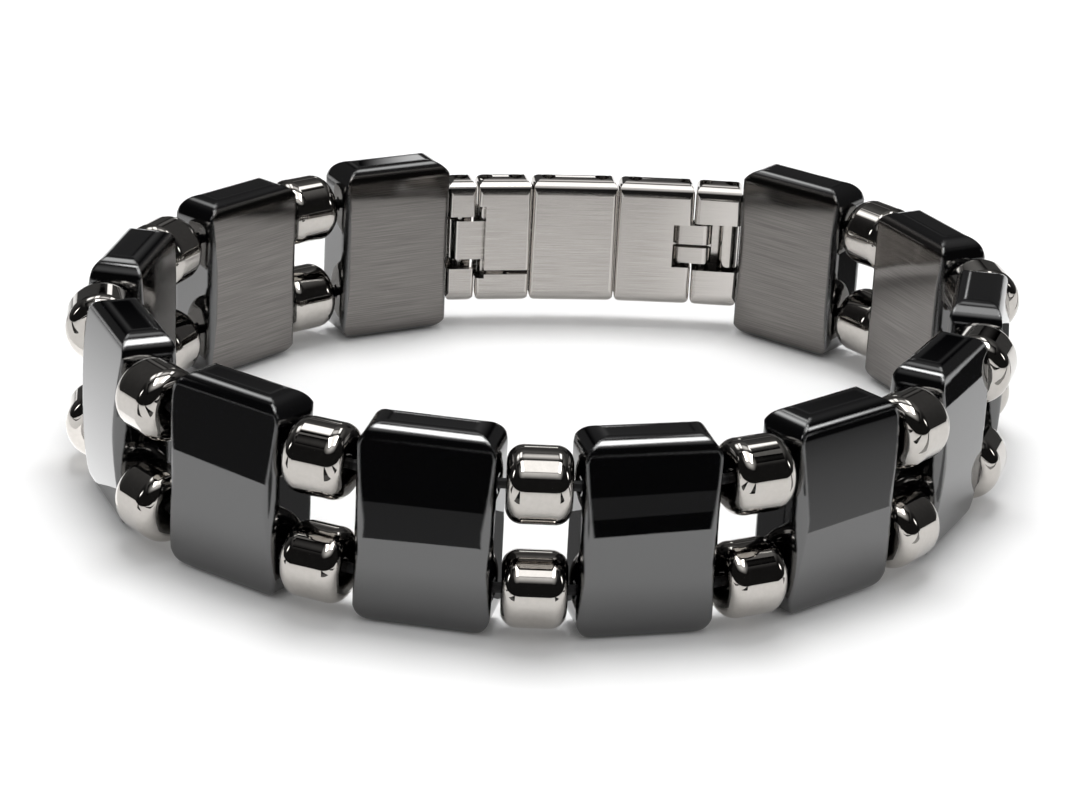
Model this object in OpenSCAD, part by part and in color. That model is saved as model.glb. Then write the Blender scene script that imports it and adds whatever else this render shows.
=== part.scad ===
// Link bracelet of polished hematite blocks with pairs of steel beads between them.
// Two threads run through blocks and beads, and a clasp of steel plates closes the loop.
// Z is the axis of the wrist. The band stands on its rim with its front towards -Y.

/* [Hematite blocks] */
// Length of a block along the band
block_l = 10; // [9.5:0.1:10.5]
// Height of a block, across the band
block_h = 15.4; // [15:0.1:16.5]
// Thickness of a block at the middle of its crowned outer face
block_t = 4.9; // [4.8:0.05:5.5]
// How far the outer face falls from its middle to its long edges
crown = 0.8; // [0.5:0.1:1]
// How far the inner face falls from its middle to its long edges
inner_crown = 0.3; // [0.2:0.05:0.4]
// Rounding of the long outer edges
outer_r = 1.2; // [1.1:0.1:1.6]
// Rounding of the long inner edges
inner_r = 1.3; // [1:0.1:1.4]
// Rounding of the corners, seen from the front
corner_r = 1.9; // [1.5:0.1:2]
// Rounding of the upright edges, seen from above
upright_r = 0.8; // [0.7:0.1:1.2]

/* [Steel beads] */
// Diameter of a bead
bead_d = 5.6; // [5.3:0.1:5.8]
// Length of a bead along the thread
bead_l = 4.7; // [4.4:0.1:5]
// Rounding of a bead's rims
bead_r = 1.2; // [1:0.05:1.4]
// Height of the bead rows above and below the middle of the band
row_rise = 4; // [3.9:0.05:4.15]
// How far the bead rows lie outside the middle of the blocks' thickness
row_out = 0.8; // [0.5:0.1:0.9]

/* [Threads] */
// Diameter of a thread
thread_d = 0.8; // [0.6:0.1:0.9]
// Diameter of the bores for a thread
bore_d = 1.2; // [1.1:0.1:1.4]

/* [Clasp] */
// Height of the clasp's plates
plate_h = 11.3; // [11:0.1:12]
// Thickness of the clasp's plates
plate_t = 3; // [2.9:0.1:3.3]
// Share of the clasp's length taken by its right end plate
end_right_l = 4.4; // [4.2:0.1:4.8]
// Share taken by the notched plate
notched_l = 7.1; // [6.6:0.1:7.6]
// Share taken by the plain middle plate
mid_l = 8; // [7.4:0.1:8.6]
// Share taken by the frame plate
frame_l = 5.1; // [5:0.1:5.6]
// Share taken by the left end plate
end_left_l = 2.7; // [2.6:0.1:3]
// How far the clasp bulges outwards from a straight line
clasp_bulge = 1; // [0.6:0.1:1.4]

/* [Hidden] */
$fn = 48;

// One row for each block, from the clasp's left end round the front to its right end.
// Columns: turn of the band before the block in degrees, slack of the threads there
bends = [
  [0, 0],
  [21, 0.5],
  [31, 1.2],
  [32, 1],
  [32, 0.3],
  [25, 0],
  [24, 0],
  [28, 0],
  [23, 0],
  [16, 0],
  [38, 0],
  [25, 0.1]];
turns = [for (row = bends) row[0]];
slacks = [for (row = bends) row[1]];
// The front of the band is the middle of the beads before this block, counted from 0
front = 6;
last = len(bends) - 1;
// Space between a bead and the blocks beside it
bead_play = 0.1;
// Space between the clasp and the band's right and left ends, and between its plates
right_gap = 1;
left_gap = 0.6;
plate_gap = 0.15;

// Clasp details
plate_edge_r = 1.3;
plate_corner_r = 1;
plate_upright_r = 0.45;
pin_d = 0.9;
pin_inset = 1.4;
pin_sunk = 0.3;
link_w = 1.6;
// Heights of the links, in the order of the joints from block 12 to block 1
link_hs = [3.5, 9.3, 9.3, 3.5];
// Clearance of a link, its pins and the bar in the plates
link_play = 0.15;
// Gap between the arms of the end plates, and how deep it is
right_gap_h = 4.3;
left_gap_h = 4.8;
arm_gap_t = 2.5;
notch_h = 3.9;
notch_l = 1.7;
// The bar stands this far from the end of the right end plate, and so does the knuckle's pin
bar_inset = 1;
knuckle_inset = 0.85;
roller_d = 1.7;
groove_h = 0.3;
groove_t = 0.5;
// Relief of the frame plate
frame_gap_l = 0.75;
frame_gap_h = 6.6;
slot = [4.2, 1, 0.4];
slot_inset = 0.4;
slot_drop = 2.95;
// Depth of the threads and of their bores in the end plates
thread_in = 0.35;
bore_in = 0.55;

mid_z = block_h / 2;

function two(i) = str(i < 10 ? "0" : "", i);
function block_name(i) = str("block_", two(i));
function bead_name(i, row) = str("bead_", two(i), "_", row);
function along(a) = [cos(a), sin(a)];
function outwards(a) = [sin(a), -cos(a)];
function sum(list, n) = n <= 0 ? 0 : list[n - 1] + sum(list, n - 1);

// Distance to the block before: the two just clear their beads, and slack lies beside it
function gap(i) = slacks[i] + 2 * (bead_l / 2 - bead_r
  + (bead_d / 2 - bead_r) * tan(turns[i] / 2) - row_out * sin(turns[i] / 2)
  + (bead_r + bead_play) / cos(turns[i] / 2));

// The band's route at mid thickness, before it is centred
front_heading = sum(turns, front + 1) - turns[front] / 2;
headings = [for (i = [0:last]) sum(turns, i + 1) - front_heading];
function raw_start(i) = i == 0 ? [0, 0] : raw_start(i - 1) + block_l * along(headings[i - 1])
  + gap(i) * along(headings[i] - turns[i] / 2);
raw_starts = [for (i = [0:last]) raw_start(i)];
raw_ends = [for (i = [0:last]) raw_starts[i] + block_l * along(headings[i])];

// Reach of a rounded rectangle in plan, centred at c and turned by a, along an axis vector
function reach(c, a, l, w, r, axis) = c * axis + (l / 2 - r) * abs(along(a) * axis)
  + (w / 2 - r) * abs(outwards(a) * axis) + r;
function raw_bead(i) = (raw_ends[i - 1] + raw_starts[i]) / 2
  + row_out * cos(turns[i] / 2) * outwards(headings[i] - turns[i] / 2);
function band_reach(axis) = max(concat(
  [for (i = [0:last]) reach((raw_starts[i] + raw_ends[i]) / 2, headings[i],
    block_l, block_t, upright_r, axis)],
  [for (i = [1:last]) reach(raw_bead(i), headings[i] - turns[i] / 2,
    bead_l, bead_d, bead_r, axis)]));

// The clasp follows an arc between the band's ends
raw_chord = raw_starts[0] - raw_ends[last];
chord_heading = 180 + atan(raw_chord.y / raw_chord.x);
chord = norm(raw_chord);
arc_r = (pow(chord / 2, 2) + pow(clasp_bulge, 2)) / (2 * clasp_bulge);
arc_angle = 2 * asin(chord / 2 / arc_r);
arc_l = arc_r * arc_angle * PI / 180;
raw_arc_centre = (raw_starts[0] + raw_ends[last]) / 2
  - (arc_r - clasp_bulge) * outwards(chord_heading);

plate_shares = [end_right_l, notched_l, mid_l, frame_l, end_left_l];
share_l = (arc_l - right_gap - left_gap - 4 * plate_gap) / sum(plate_shares, 5);
plate_ls = [for (share = plate_shares) share * share_l];
plate_headings = [for (k = [0:4]) chord_heading - arc_angle / 2 + arc_angle / arc_l
  * (right_gap + sum(plate_ls, k) + k * plate_gap + plate_ls[k] / 2)];
function raw_plate(k) = raw_arc_centre + arc_r * outwards(plate_headings[k]);
function clasp_reach(axis) = max([for (k = [0:4]) reach(raw_plate(k), plate_headings[k],
  plate_ls[k], plate_t, plate_upright_r, axis)]);

// Everything is moved so that the middle of the whole outline lies on the Z axis
function span_middle(axis) = (max(band_reach(axis), clasp_reach(axis))
  - max(band_reach(-axis), clasp_reach(-axis))) / 2;
shift = -[span_middle([1, 0]), span_middle([0, 1])];
starts = [for (p = raw_starts) p + shift];
ends = [for (p = raw_ends) p + shift];
function bead_at(i) = raw_bead(i) + shift;
function plate_at(k) = raw_plate(k) + shift;

// A point on a plate's middle line: side 1 is its far end along the band, -1 its near end
function on_plate(k, side, inset) = plate_at(k)
  + side * (plate_ls[k] / 2 - inset) * along(plate_headings[k]);

// A rounded rectangle made of circles and squares
module rounded_rect(w, h, r) {
  for (x = [-1, 1]) {
    for (y = [-1, 1]) {
      translate([x * (w / 2 - r), y * (h / 2 - r)])
        circle(r);
    }
  }
  square([w - 2 * r, h], center = true);
  square([w, h - 2 * r], center = true);
}

// Two outlines, seen along the band and from the front, and one seen from above
module rounded_slab(l, h, t, corner, upright) {
  intersection() {
    translate([-l, 0, 0])
      rotate([90, 0, 90])
        linear_extrude(2 * l)
          children();
    translate([0, t, 0])
      rotate([90, 0, 0])
        linear_extrude(2 * t)
          rounded_rect(l, h, corner);
    translate([0, 0, -h])
      linear_extrude(2 * h)
        rounded_rect(l, t, upright);
  }
}

// One side of a block's section: crowned towards -X, with its highest point at the origin
module crowned_side(sag, r) {
  crown_r = (pow(block_h / 2, 2) + pow(sag, 2)) / (2 * sag);
  edge_y = block_h / 2 - r;
  edge_x = crown_r - sqrt(pow(crown_r - r, 2) - pow(edge_y, 2));
  crown_y = edge_y * crown_r / (crown_r - r);
  for (s = [-1, 1]) {
    translate([edge_x, s * edge_y])
      circle(r);
  }
  translate([edge_x, -block_h / 2])
    square([block_t / 2 - edge_x + 0.2, block_h]);
  intersection() {
    translate([crown_r, 0])
      circle(crown_r, $fn = 720);
    translate([0, -crown_y])
      square([edge_x, 2 * crown_y]);
  }
}

// Section of a block across the band, its inner face to the left
module block_section() {
  union() {
    translate([-block_t / 2, 0])
      crowned_side(inner_crown, inner_r);
    translate([block_t / 2, 0])
      rotate(180)
        crowned_side(crown, outer_r);
  }
}

// Bores for both threads, through a length along X, at a distance y from the middle
module thread_bores(l, y) {
  for (s = [-1, 1]) {
    translate([-l / 2, y, s * row_rise])
      rotate([0, 90, 0])
        cylinder(d = bore_d, h = l);
  }
}

// A block is drawn with its outer face to +Y and turned round into its place
module block(i) {
  middle = (starts[i] + ends[i]) / 2;
  color("#26272a")
    translate([middle.x, middle.y, mid_z])
      rotate(headings[i] + 180)
        difference() {
          rounded_slab(block_l, block_h, block_t, corner_r, upright_r)
            block_section();
          thread_bores(2 * block_l, row_out);
        }
}

module bead(i, side) {
  at = bead_at(i);
  body_l = bead_l - 2 * bead_r;
  color("#c4c5c8")
    translate([at.x, at.y, mid_z + side * row_rise])
      rotate(headings[i] - turns[i] / 2)
        rotate([0, 90, 0])
          difference() {
            rotate_extrude() {
              translate([0, -body_l / 2])
                square([bead_d / 2, body_l]);
              translate([0, -bead_l / 2])
                square([bead_d / 2 - bead_r, bead_l]);
              for (s = [-1, 1]) {
                translate([bead_d / 2 - bead_r, s * body_l / 2])
                  circle(bead_r);
              }
            }
            cylinder(d = bore_d, h = 2 * bead_l, center = true);
          }
}

// A thread bends only where it leaves a block, and ends inside the clasp's end plates
thread_route = concat(
  [on_plate(4, 1, thread_in) + row_out * outwards(plate_headings[4])],
  [on_plate(4, 1, 0) + row_out * outwards(plate_headings[4])],
  [for (i = [0:last]) each [for (p = [starts[i], ends[i]]) p + row_out * outwards(headings[i])]],
  [on_plate(0, -1, 0) + row_out * outwards(plate_headings[0])],
  [on_plate(0, -1, thread_in) + row_out * outwards(plate_headings[0])]);

// Sweeps a ring of eight points along the thread's route
module thread(side) {
  sides = 8;
  n = len(thread_route);
  steps = [for (k = [0:n - 2]) thread_route[k + 1] - thread_route[k]];
  ways = [for (k = [0:n - 2]) atan2(steps[k].y, steps[k].x)];
  function way_in(k) = ways[max(k - 1, 0)];
  function way_out(k) = ways[min(k, n - 2)];
  function bend(k) = (way_out(k) - way_in(k) + 540) % 360 - 180;
  points = [for (k = [0:n - 1]) each [for (j = [0:sides - 1])
    let (side_step = thread_d / 2 * cos(360 * j / sides) / cos(bend(k) / 2))
    let (p = thread_route[k] + side_step * outwards(way_in(k) + bend(k) / 2))
    [p.x, p.y, mid_z + side * row_rise + thread_d / 2 * sin(360 * j / sides)]]];
  faces = concat(
    [[for (j = [sides - 1:-1:0]) j]],
    [for (k = [0:n - 2]) each [for (j = [0:sides - 1])
      [k * sides + (j + 1) % sides, (k + 1) * sides + (j + 1) % sides,
       (k + 1) * sides + j, k * sides + j]]],
    [[for (j = [0:sides - 1]) (n - 1) * sides + j]]);
  color("#55565a")
    polyhedron(points, faces);
}

// Plan of a link between two points
module link_plan(p, q, w) {
  step = q - p;
  for (c = [p, q]) {
    translate(c)
      circle(d = w);
  }
  translate(p)
    rotate(atan2(step.y, step.x))
      translate([0, -w / 2])
        square([norm(step), w]);
}

// A link with an upright pin at each end; with play it is the room cut for it
module link(joint, pin_l, play = 0) {
  ends_here = link_ends[joint];
  translate([0, 0, mid_z - link_hs[joint] / 2 - play])
    linear_extrude(link_hs[joint] + 2 * play)
      link_plan(ends_here[0], ends_here[1], link_w + 2 * play);
  for (c = ends_here) {
    translate([c.x, c.y, mid_z])
      cylinder(d = pin_d + 2 * play, h = pin_l, center = true);
  }
}

// Where the pins of the links stand, in the order of the joints from block 12 to block 1
link_ends = [
  [on_plate(0, 1, knuckle_inset), on_plate(1, -1, knuckle_inset)],
  [on_plate(1, 1, pin_inset), on_plate(2, -1, pin_inset)],
  [on_plate(2, 1, pin_inset), on_plate(3, -1, pin_inset)],
  [on_plate(3, 1, frame_gap_l), on_plate(4, -1, plate_ls[4] / 2)]];
link_pin_l = plate_h - 2 * pin_sunk;

module link_room(joint) {
  link(joint, 2 * plate_h, link_play);
}

module steel_link(joint) {
  color("#b4b3b0")
    link(joint, link_pin_l);
}

module plate_body(k) {
  rounded_slab(plate_ls[k], plate_h, plate_t, plate_corner_r, plate_upright_r)
    rounded_rect(plate_t, plate_h, plate_edge_r);
}

// Puts children in a plate's place, with -Y facing outwards
module on_clasp(k) {
  at = plate_at(k);
  translate([at.x, at.y, mid_z])
    rotate(plate_headings[k])
      children();
}

// The gap between an end plate's arms, open to the wrist
module arm_gap(k, h) {
  translate([-plate_ls[k], plate_t / 2 - arm_gap_t, -h / 2])
    cube([2 * plate_ls[k], plate_t, h]);
}

module end_bores(k, side) {
  translate([side * plate_ls[k] / 2, 0, 0])
    thread_bores(2 * bore_in, -row_out);
}

module clasp_end_right() {
  color("#b4b3b0")
    difference() {
      on_clasp(0)
        difference() {
          plate_body(0);
          arm_gap(0, right_gap_h);
          end_bores(0, -1);
        }
      link_room(0);
      bar(2 * plate_h, link_play);
    }
}

module clasp_notched() {
  color("#b4b3b0")
    difference() {
      on_clasp(1)
        difference() {
          plate_body(1);
          translate([-plate_ls[1] / 2 - notch_l, -plate_t, -notch_h / 2])
            cube([2 * notch_l, 2 * plate_t, notch_h]);
        }
      link_room(0);
      link_room(1);
    }
}

module clasp_mid() {
  color("#b4b3b0")
    difference() {
      on_clasp(2)
        plate_body(2);
      link_room(1);
      link_room(2);
    }
}

module clasp_frame() {
  color("#b4b3b0")
    difference() {
      on_clasp(3)
        difference() {
          plate_body(3);
          translate([plate_ls[3] / 2 - frame_gap_l, plate_t / 2 - arm_gap_t, -frame_gap_h / 2])
            cube([2 * frame_gap_l, plate_t, frame_gap_h]);
          translate([plate_ls[3] / 2 - slot_inset - slot.x, plate_t / 2 - slot.y, -slot_drop])
            cube([slot.x, plate_t, slot.z]);
        }
      link_room(2);
      link_room(3);
    }
}

module clasp_end_left() {
  color("#b4b3b0")
    difference() {
      on_clasp(4)
        difference() {
          plate_body(4);
          arm_gap(4, left_gap_h);
          end_bores(4, 1);
        }
      link_room(3);
    }
}

// An upright bar with a roller between the arms of the right end plate
module bar(l, play = 0) {
  at = on_plate(0, -1, bar_inset);
  translate([at.x, at.y, mid_z]) {
    cylinder(d = pin_d + 2 * play, h = l, center = true);
    cylinder(d = roller_d + 2 * play, h = right_gap_h - 2 * link_play + 2 * play, center = true);
  }
}

module clasp_bar() {
  color("#d0d0d2")
    bar(link_pin_l);
}

// The knuckle is a link whose inner face has a groove across it
module clasp_knuckle() {
  at = plate_at(0);
  color("#b4b3b0")
    difference() {
      link(0, link_pin_l);
      translate([at.x, at.y, mid_z - groove_h])
        rotate(plate_headings[0])
          translate([-plate_ls[0], link_w / 2 - groove_t, 0])
            cube([3 * plate_ls[0], link_w, groove_h]);
    }
}

for (i = [0:last])
  block(i);
for (i = [1:last])
  bead(i, 1);
for (i = [1:last])
  bead(i, -1);
thread(1);  // thread_up
thread(-1);  // thread_low
clasp_end_right();
clasp_notched();
clasp_mid();
clasp_frame();
clasp_end_left();
clasp_bar();
clasp_knuckle();
steel_link(1);  // hinge_3
steel_link(2);  // hinge_2
steel_link(3);  // hinge_1
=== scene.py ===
# Link bracelet of polished hematite blocks and steel beads, standing on its rim in a small studio
import math

import bpy
from mathutils import Matrix, Vector

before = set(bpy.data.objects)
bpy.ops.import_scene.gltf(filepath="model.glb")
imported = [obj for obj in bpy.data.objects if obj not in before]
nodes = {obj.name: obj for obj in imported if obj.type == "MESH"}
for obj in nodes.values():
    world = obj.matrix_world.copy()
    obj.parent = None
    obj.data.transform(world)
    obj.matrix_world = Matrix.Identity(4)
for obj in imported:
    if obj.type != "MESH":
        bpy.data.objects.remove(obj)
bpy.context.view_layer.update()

mm = 0.001
scene = bpy.context.scene


def rotation(degrees, axis):
    return Matrix.Rotation(math.radians(degrees), 4, axis)


# Camera: the photo's angle, a long lens from above the front. Angles are in degrees, lens and film
# width in mm as Blender takes them, near and far in metres
camera = {
    "place": (-9.15 * mm, -245.8 * mm, 104.05 * mm),
    "heading": -1.86,
    "pitch": 21.78,
    "roll": 2.98,
    "lens": 112.3,
    "filmWidth": 36,
    "near": 0.01,
    "far": 20,
}


def setCamera():
    data = bpy.data.cameras.new("camera")
    data.lens = camera["lens"]
    data.sensor_width = camera["filmWidth"]
    data.clip_start = camera["near"]
    data.clip_end = camera["far"]
    eye = bpy.data.objects.new("camera", data)
    turn = rotation(camera["heading"], "Z")
    tip = rotation(90 - camera["pitch"], "X")
    lean = rotation(camera["roll"], "Z")
    eye.matrix_world = Matrix.Translation(camera["place"]) @ turn @ tip @ lean
    scene.collection.objects.link(eye)
    scene.camera = eye


setCamera()
print("camera set")


# Colours are written as sRGB hex and turned linear here
def linear(hexCode):
    parts = [int(hexCode[k:k + 2], 16) / 255 for k in (1, 3, 5)]
    return [p / 12.92 if p <= 0.04045 else ((p + 0.055) / 1.055) ** 2.4 for p in parts] + [1]


# Adds a shader node, sets its fields and sockets, and links a socket to the node or output given for it.
# An underscore stands for a space in a socket's name, and i0 and i1 are sockets by number
def add(tree, kind, fields=None, **sockets):
    node = tree.nodes.new("ShaderNode" + kind)
    for name, value in (fields or {}).items():
        setattr(node, name, value)
    for name, value in sockets.items():
        key = int(name[1:]) if name[1:].isdigit() else name.replace("_", " ")
        if isinstance(value, bpy.types.Node):
            value = value.outputs[0]
        if isinstance(value, bpy.types.NodeSocket):
            tree.links.new(value, node.inputs[key])
        else:
            node.inputs[key].default_value = value
    return node


def newMaterial(name):
    material = bpy.data.materials.new(name)
    material.use_nodes = True
    tree = material.node_tree
    tree.nodes.clear()
    return material, tree


# Settings that several nodes share
smooth = {"interpolation_type": "SMOOTHSTEP", "clamp": True}
product = {"operation": "MULTIPLY"}
magnitude = {"operation": "ABSOLUTE"}


# The sockets of a map range, from one pair of values to another
def between(start, end=(0, 1)):
    return {"From_Min": start[0], "From_Max": start[1], "To_Min": end[0], "To_Max": end[1]}


# How far a surface looks towards the wrist: 1 on inner faces, -1 on outer ones
def towardsWrist(tree, coord):
    flat = add(tree, "VectorMath", product, i0=coord.outputs["Object"], i1=(-1, -1, 0))
    inwards = add(tree, "VectorMath", {"operation": "NORMALIZE"}, i0=flat)
    facing = add(tree, "VectorMath", {"operation": "DOT_PRODUCT"}, i0=inwards, i1=coord.outputs["Normal"])
    return facing.outputs["Value"]


loopRadius = 33 * mm  # of the band, so that lines come out as long as they are said to be


# Lines brushed along the band: noise drawn out round the loop and fine across it
def brushLines(tree, coord, width, length):
    apart = add(tree, "SeparateXYZ", Vector=coord.outputs["Object"])
    angle = add(tree, "Math", {"operation": "ARCTAN2"}, i0=apart.outputs["Y"], i1=apart.outputs["X"])
    along = add(tree, "Math", product, i0=angle, i1=loopRadius / length)
    across = add(tree, "Math", product, i0=apart.outputs["Z"], i1=1 / width)
    place = add(tree, "CombineXYZ", X=along, Y=across)
    return add(tree, "TexNoise", Vector=place, Scale=1, Detail=4, Roughness=0.6)


# Hematite: near-black iron oxide, tumbled to a black mirror outside and finely ground along the band
# inside, which gives a grey satin. Real grinding lines are finer and are drawn coarse enough to show
hematite = {
    "polished": "#020203",
    "groundDark": "#666361",
    "groundLight": "#7c7976",
    "ior": 2.15,
    "inner": (0.7, 0.9),  # faces are ground where they look this straight at the wrist
    "glossRough": (0.012, 0.032),
    "satinRough": (0.035, 0.085),
    "hazePatch": 2.86 * mm,
    "hazeSpread": (0.3, 0.75),
    "lineWidth": 0.09 * mm,
    "lineLength": 7 * mm,
    "lineDepth": 0.0005 * mm,
    "satinSpread": (0.25, 0.75),
    "streakSpread": (0.3, 0.7),
    "swellPatch": 6.25 * mm,
    "swellDepth": 0.006 * mm,
    "swellStrength": 0.5,
    "softEdge": 0.35 * mm,
}


def polishedHematite():
    look = hematite
    material, tree = newMaterial("polished_hematite")
    coord = add(tree, "TexCoord")
    spot = coord.outputs["Object"]
    inner = add(tree, "MapRange", smooth, Value=towardsWrist(tree, coord), **between(look["inner"]))
    lines = brushLines(tree, coord, look["lineWidth"], look["lineLength"])
    # Tumbled faces hold faint hazy patches a few millimetres wide, ground ones vary from line to line
    haze = add(tree, "TexNoise", Vector=spot, Scale=1 / look["hazePatch"], Detail=3)
    gloss = add(tree, "MapRange", smooth, Value=haze, **between(look["hazeSpread"], look["glossRough"]))
    satin = add(tree, "MapRange", smooth, Value=lines, **between(look["satinSpread"], look["satinRough"]))
    rough = add(tree, "Mix", i0=inner, A=gloss, B=satin)
    share = add(tree, "MapRange", smooth, Value=lines, **between(look["streakSpread"]))
    ground = add(tree, "MixRGB", Fac=share, Color1=linear(look["groundDark"]),
                 Color2=linear(look["groundLight"]))
    colour = add(tree, "MixRGB", Fac=inner, Color1=linear(look["polished"]), Color2=ground)
    # Edges are worn a little softer, polishing leaves a slight swell, and grinding leaves shallow lines
    worn = add(tree, "Bevel", {"samples": 6}, Radius=look["softEdge"])
    swell = add(tree, "TexNoise", Vector=spot, Scale=1 / look["swellPatch"], Detail=1)
    soft = add(tree, "Bump", Strength=look["swellStrength"], Distance=look["swellDepth"], Height=swell,
               Normal=worn)
    scored = add(tree, "Bump", Strength=inner, Distance=look["lineDepth"], Height=lines, Normal=soft)
    shader = add(tree, "BsdfPrincipled", Base_Color=colour, Metallic=inner, Roughness=rough,
                 IOR=look["ior"], Normal=scored)
    add(tree, "OutputMaterial", Surface=shader)
    return material


# Beads: stainless steel turned and buffed to a mirror, with a faint wave and rub marks that blur it
beadSteel = {
    "dark": "#b5b1ac",
    "light": "#c4c0bb",
    "rough": (0.024, 0.068),
    "markPatch": 0.4 * mm,
    "markSpread": (0.35, 0.75),
    "wavePatch": 3.33 * mm,
    "waveDepth": 0.003 * mm,
}


def polishedSteel():
    look = beadSteel
    material, tree = newMaterial("polished_steel")
    spot = add(tree, "TexCoord").outputs["Object"]
    wave = add(tree, "TexNoise", Vector=spot, Scale=1 / look["wavePatch"], Detail=1)
    marks = add(tree, "TexNoise", Vector=spot, Scale=1 / look["markPatch"], Detail=3)
    rough = add(tree, "MapRange", smooth, Value=marks, **between(look["markSpread"], look["rough"]))
    soft = add(tree, "Bump", Strength=1, Distance=look["waveDepth"], Height=wave)
    tint = add(tree, "MixRGB", Fac=marks, Color1=linear(look["dark"]), Color2=linear(look["light"]))
    shader = add(tree, "BsdfPrincipled", Base_Color=tint, Metallic=1, Roughness=rough, Normal=soft)
    add(tree, "OutputMaterial", Surface=shader)
    return material


# Clasp: stainless steel plates, brushed along the band on the faces, which look satin, and polished on
# the edges, which look bright. Real brush lines are finer and are drawn coarse enough to show
claspSteel = {
    "edge": "#c6c2be",
    "faceDark": "#9f9b97",
    "faceLight": "#bab6b2",
    "face": (0.9, 0.97),  # brushed where a plate looks this straight at the wrist or away from it
    "edgeRough": 0.07,
    "faceRough": (0.19, 0.29),
    "lineWidth": 0.06 * mm,
    "lineLength": 5 * mm,
    "lineDepth": 0.0012 * mm,
    "satinSpread": (0.25, 0.75),
    "streakSpread": (0.3, 0.7),
}


def brushedSteel():
    look = claspSteel
    material, tree = newMaterial("brushed_steel")
    coord = add(tree, "TexCoord")
    straight = add(tree, "Math", magnitude, i0=towardsWrist(tree, coord))
    face = add(tree, "MapRange", smooth, Value=straight, **between(look["face"]))
    lines = brushLines(tree, coord, look["lineWidth"], look["lineLength"])
    satin = add(tree, "MapRange", smooth, Value=lines, **between(look["satinSpread"], look["faceRough"]))
    rough = add(tree, "Mix", i0=face, A=look["edgeRough"], B=satin)
    share = add(tree, "MapRange", smooth, Value=lines, **between(look["streakSpread"]))
    brushed = add(tree, "MixRGB", Fac=share, Color1=linear(look["faceDark"]),
                  Color2=linear(look["faceLight"]))
    colour = add(tree, "MixRGB", Fac=face, Color1=linear(look["edge"]), Color2=brushed)
    scored = add(tree, "Bump", Strength=face, Distance=look["lineDepth"], Height=lines)
    shader = add(tree, "BsdfPrincipled", Base_Color=colour, Metallic=1, Roughness=rough, Normal=scored)
    add(tree, "OutputMaterial", Surface=shader)
    return material


# Thread: dark elastic cord, drawn smooth, with a faint ribbed skin that dulls it
elastic = {
    "dark": "#0e0e0f",
    "light": "#19191a",
    "rough": 0.45,
    "rib": mm / 3,
    "ribDepth": 0.01 * mm,
    "ribStrength": 0.4,
}


def elasticThread():
    look = elastic
    material, tree = newMaterial("elastic_thread")
    spot = add(tree, "TexCoord").outputs["Object"]
    ribs = add(tree, "TexNoise", Vector=spot, Scale=1 / look["rib"], Detail=2)
    tint = add(tree, "MixRGB", Fac=ribs, Color1=linear(look["dark"]), Color2=linear(look["light"]))
    soft = add(tree, "Bump", Strength=look["ribStrength"], Distance=look["ribDepth"], Height=ribs)
    shader = add(tree, "BsdfPrincipled", Base_Color=tint, Roughness=look["rough"], Normal=soft)
    add(tree, "OutputMaterial", Surface=shader)
    return material


# Each piece takes its look from the first word of its name
looks = {"block": polishedHematite(), "bead": polishedSteel(), "thread": elasticThread(),
         "clasp": brushedSteel()}
looks["hinge"] = looks["clasp"]
for name, node in nodes.items():
    node.data.materials.clear()
    node.data.materials.append(looks[name.split("_")[0]])
nodes["clasp_bar"].data.materials[0] = looks["bead"]  # its roller is polished like the beads
print("materials set on", len(nodes), "nodes")


def meshObject(name, points, faces):
    mesh = bpy.data.meshes.new(name)
    mesh.from_pydata(points, [], faces)
    mesh.update()
    thing = bpy.data.objects.new(name, mesh)
    scene.collection.objects.link(thing)
    return thing


def rectangle(name, w, h):
    return meshObject(name, [(-w, -h, 0), (w, -h, 0), (w, h, 0), (-w, h, 0)], [(0, 1, 2, 3)])


# Shown to mirror reflections alone: the softboxes of a product studio, and the cards that paint
# reflections
def onlyInReflections(thing):
    thing.visible_camera = False
    thing.visible_diffuse = False
    thing.visible_transmission = False
    thing.visible_volume_scatter = False
    thing.visible_shadow = False


# Floor: one pale matt sheet, its reach in metres from the middle
paleFloor = {"reach": 4, "colour": "#f4f4f4"}


def makeFloor():
    floor = rectangle("floor", paleFloor["reach"], paleFloor["reach"])
    material, tree = newMaterial("pale_floor")
    shader = add(tree, "BsdfDiffuse", Color=linear(paleFloor["colour"]))
    add(tree, "OutputMaterial", Surface=shader)
    floor.data.materials.append(material)


# Cards lie on the floor, shown only to mirrors, and glow with set tones: they are painted reflections. The
# dark ones in front of the blocks paint the dark and grey bands seen in their faces, the bright one at the
# left of the bracelet paints a bright reflected patch, and the last two paint shade on blocks' ends
# between the beads. Each
# row is one card in mm: near left, near right, far right, far left, then how bright its near and far edges
# look
cards = [
    ((-58.5, -27.4), (-42.4, -36.2), (-600, -215), (-640, -130), 0.05, 0.04),
    ((-22, -42.8), (-8.6, -47.4), (-14.6, -63.2), (-29.2, -58.4), 0.12, 0.11),
    ((-29.2, -58.4), (-14.6, -63.2), (-235, -622), (-297, -595), 0.012, 0.01),
    ((8.4, -51.3), (23.6, -50.6), (29, -60), (13.2, -60), 0.01, 0.01),
    ((13.2, -60), (29, -60), (40, -78.8), (20.4, -77.6), 0.08, 0.08),
    ((20.4, -77.6), (40, -78.8), (335, -590), (266, -620), 0.01, 0.01),
    ((30.6, -29.8), (41.2, -21), (115.5, -27.4), (105, -40.8), 0.45, 0.14),
    ((105, -40.8), (115.5, -27.4), (700, -40), (690, -110), 0.01, 0.01),
    ((60.1, 9.4), (65.6, 21.4), (462, 385), (474, 350), 0.02, 0.01),
    ((-34, -3), (-37.5, -17), (-150, 70), (-70, 95), 1.75, 0.1),
    ((-12, -26.5), (8, -26.5), (6, -12), (-11, -12), 0.13, 0.13),
    ((37, 28.5), (40.5, 34), (56.5, 41), (53.5, 34.5), 0.06, 0.04),
]
cardHeight = 0.2 * mm


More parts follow.
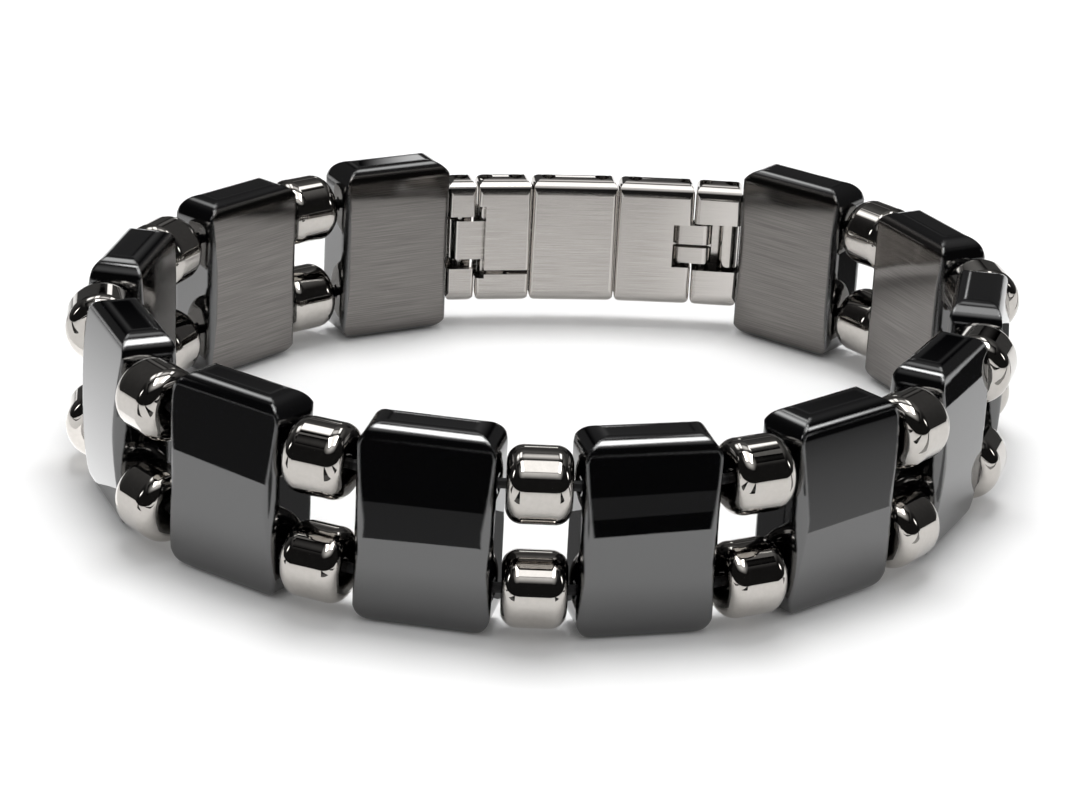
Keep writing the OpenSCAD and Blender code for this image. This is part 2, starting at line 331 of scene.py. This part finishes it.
def makeCards():
    points, faces, tones = [], [], []
    for k, (*corners, near, far) in enumerate(cards):
        points += [(x * mm, y * mm, cardHeight) for x, y in corners]
        faces.append(tuple(range(4 * k, 4 * k + 4)))
        tones += [near, near, far, far]
    thing = meshObject("painted_reflection_cards", points, faces)
    thing.data.attributes.new("tone", "FLOAT", "POINT").data.foreach_set("value", tones)
    material, tree = newMaterial("painted_reflection_card")
    tone = add(tree, "Attribute", {"attribute_name": "tone"}).outputs["Fac"]
    # Each card glows with its tone instead of reflecting: painted reflection and painted shade, seen only
    # in mirrors
    add(tree, "OutputMaterial", Surface=add(tree, "Emission", Strength=tone))
    thing.data.materials.append(material)
    onlyInReflections(thing)


# Softboxes as mirrors see them: place and size in mm, brightness, and the share of their reach over
# which they fade. Lean and turn are in degrees, and a softbox without them lies flat overhead
softboxes = {
    "overhead_left": {"place": (-135, -165, 520), "size": (110, 370), "bright": 9, "soft": 0.2},
    "overhead_right": {"place": (160, -165, 520), "size": (110, 370), "bright": 9, "soft": 0.2},
    "overhead_mid": {"place": (12, -165, 530), "size": (420, 400), "bright": 1.9, "soft": 0.2},
    "overhead_back": {"place": (0, 190, 540), "size": (560, 300), "bright": 1.2, "soft": 1},
    "front_glow": {"place": (0, -370, 545), "size": (1000, 720), "bright": 1, "soft": 1},
    "back_left": {"place": (-165, 255, 520), "size": (130, 340), "bright": 2.5, "soft": 0.5},
    "back_right": {"place": (160, 255, 520), "size": (120, 340), "bright": 2.5, "soft": 0.5},
    "glow_left": {"place": (-330, 260, 530), "size": (300, 400), "bright": 3, "soft": 1},
    "back_clasp": {"place": (22, 1300, 452), "size": (146, 170), "bright": 1.8, "soft": 0.4, "lean": 90},
    "back_low": {"place": (-60, 1300, 640), "size": (1800, 300), "bright": 0.18, "soft": 1, "lean": 90},
    "right_strip": {"place": (600, -60, 280), "size": (80, 260), "bright": 8, "soft": 1, "lean": 90,
                    "turn": 90},
    "left_strip": {"place": (-600, -60, 280), "size": (80, 260), "bright": 8, "soft": 1, "lean": 90,
                   "turn": 90},
}


def makeSoftboxes():
    for name, box in softboxes.items():
        w, h = (side * mm / 2 for side in box["size"])
        sheet = rectangle(name, w, h)
        place = Matrix.Translation([c * mm for c in box["place"]])
        sheet.matrix_world = place @ rotation(box.get("turn", 0), "Z") @ rotation(box.get("lean", 0), "X")
        material, tree = newMaterial(name)
        spot = add(tree, "SeparateXYZ", Vector=add(tree, "TexCoord").outputs["Object"])
        # The cloth is evenly bright in the middle and fades towards its frame
        strength = box["bright"]
        for axis, half in (("X", w), ("Y", h)):
            off = add(tree, "Math", magnitude, i0=spot.outputs[axis])
            even = half * (1 - box["soft"])
            fade = add(tree, "MapRange", smooth, Value=off, **between((even, half), (1, 0)))
            strength = add(tree, "Math", product, i0=fade, i1=strength)
        add(tree, "OutputMaterial", Surface=add(tree, "Emission", Strength=strength))
        sheet.data.materials.append(material)
        onlyInReflections(sheet)


makeFloor()
makeCards()
makeSoftboxes()
print("floor, cards and softboxes set")


# The light that falls on floor and bracelet: a softbox above and a little behind, a weak one in front
lamps = {
    "above": {"place": (10, 125, 570), "size": (260, 260), "power": 11},
    "front": {"place": (-120, -420, 380), "size": (360, 260), "power": 0.4},
}
lampTarget = Vector((0, 0, 8 * mm))  # the bracelet's middle


def makeLamps():
    for name, box in lamps.items():
        data = bpy.data.lights.new(name, "AREA")
        data.shape = "RECTANGLE"
        data.size, data.size_y = (side * mm for side in box["size"])
        data.energy = box["power"] * math.pi * data.size * data.size_y
        light = bpy.data.objects.new(name, data)
        light.location = [c * mm for c in box["place"]]
        aim = lampTarget - light.location
        light.rotation_euler = aim.to_track_quat("-Z", "Y").to_euler()
        light.visible_glossy = False
        scene.collection.objects.link(light)


# The room gives soft white light. To mirrors alone it is painted dark, a painted reflection with a faint
# ceiling painted above and a fainter wall painted at the back
room = {
    "colour": "#ffffff",
    "light": 0.66,
    "ceiling": (0.6, 0.95),
    "ceilingGlow": (0.012, 0.2),
    "back": (0, 0.6),
    "backGlow": (0, 0.05),
}


def makeRoom():
    world = bpy.data.worlds.new("studio")
    world.use_nodes = True
    tree = world.node_tree
    tree.nodes.clear()
    way = add(tree, "SeparateXYZ", Vector=add(tree, "TexCoord").outputs["Generated"])
    ceiling = add(tree, "MapRange", smooth, Value=way.outputs["Z"],
                  **between(room["ceiling"], room["ceilingGlow"]))
    back = add(tree, "MapRange", smooth, Value=way.outputs["Y"], **between(room["back"], room["backGlow"]))
    glow = add(tree, "Math", {"operation": "ADD"}, i0=ceiling, i1=back)
    white = add(tree, "Background", Color=linear(room["colour"]), Strength=room["light"])
    dark = add(tree, "Background", Color=linear(room["colour"]), Strength=glow)
    # Glossy rays alone get the dark room, a painted reflection; all other rays get the white light
    mirrored = add(tree, "LightPath").outputs["Is Glossy Ray"]
    add(tree, "OutputWorld", Surface=add(tree, "MixShader", Fac=mirrored, i1=white, i2=dark))
    scene.world = world


makeLamps()
makeRoom()
scene.view_settings.view_transform = "Standard"
print("lamps and room set")
